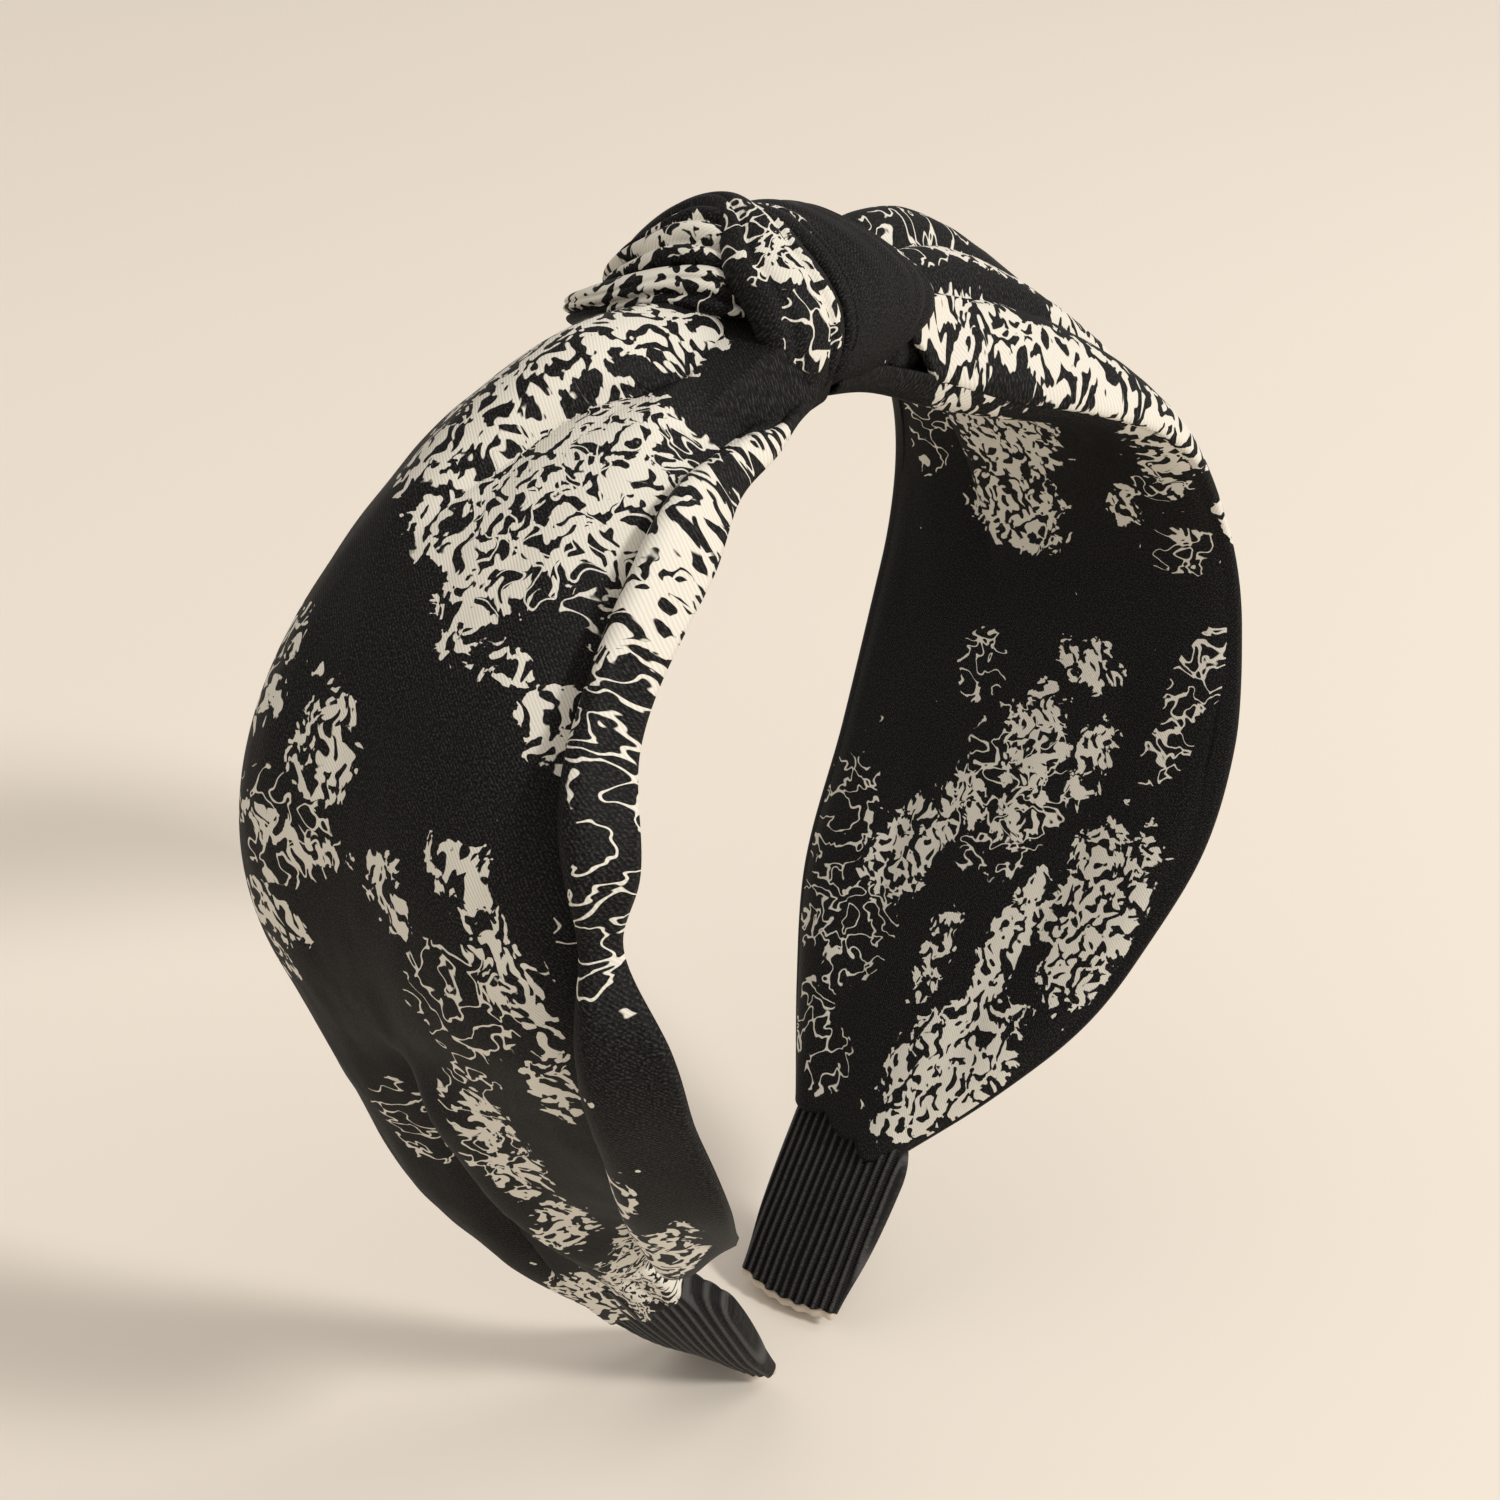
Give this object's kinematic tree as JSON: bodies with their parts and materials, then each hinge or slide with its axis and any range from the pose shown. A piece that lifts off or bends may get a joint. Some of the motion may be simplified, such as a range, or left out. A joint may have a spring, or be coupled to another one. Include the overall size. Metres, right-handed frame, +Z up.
{
  "type": "knotted headband",
  "caption": "Wide satin headband knotted over the crown, with soft sleeves on a springy hoop and ribbon-covered tips.",
  "frame": {"origin": "on the surface that the two tips stand on, under the middle of the band's bounding box", "axes": "+Z up from the tips to the knot, +X from the left tip to the right tip, -Y towards the wearer's face"},
  "size_m": [0.1332, 0.0569, 0.1608],
  "materials": {
    "satin": "black satin printed with cream foliage",
    "ribbon": "matt black ribbed grosgrain",
    "thread": "black sewing thread",
    "lining": "unbleached bonded interlining",
    "core": "black moulded plastic"
  },
  "bodies": {
    "crown": {"crown_core": "core", "knot_front_loop": "satin", "knot_side_loop": "satin", "left_gather": "satin", "right_gather": "satin"},
    "left_arm": {"left_core": "core", "left_outer_panel": "satin", "left_inner_panel": "satin", "left_interlining": "lining", "left_tip_ribbon": "ribbon", "left_hem_stitch_upper": "thread", "left_hem_stitch_lower": "thread"},
    "right_arm": {"right_core": "core", "right_outer_panel": "satin", "right_inner_panel": "satin", "right_interlining": "lining", "right_tip_ribbon": "ribbon", "right_hem_stitch_upper": "thread", "right_hem_stitch_lower": "thread"}
  },
  "joints": [
    {"name": "left_arm_flex", "type": "hinge", "parent": "crown", "child": "left_arm", "pos_m": [-0.0288, 0.004, 0.151], "axis": [0, 1, 0], "range_deg": [-1.5, 22], "stiffness_Nm_per_rad": 0.4},
    {"name": "right_arm_flex", "type": "hinge", "parent": "crown", "child": "right_arm", "pos_m": [0.0288, 0.004, 0.151], "axis": [0, -1, 0], "range_deg": [-1.5, 22], "stiffness_Nm_per_rad": 0.4}
  ]
}
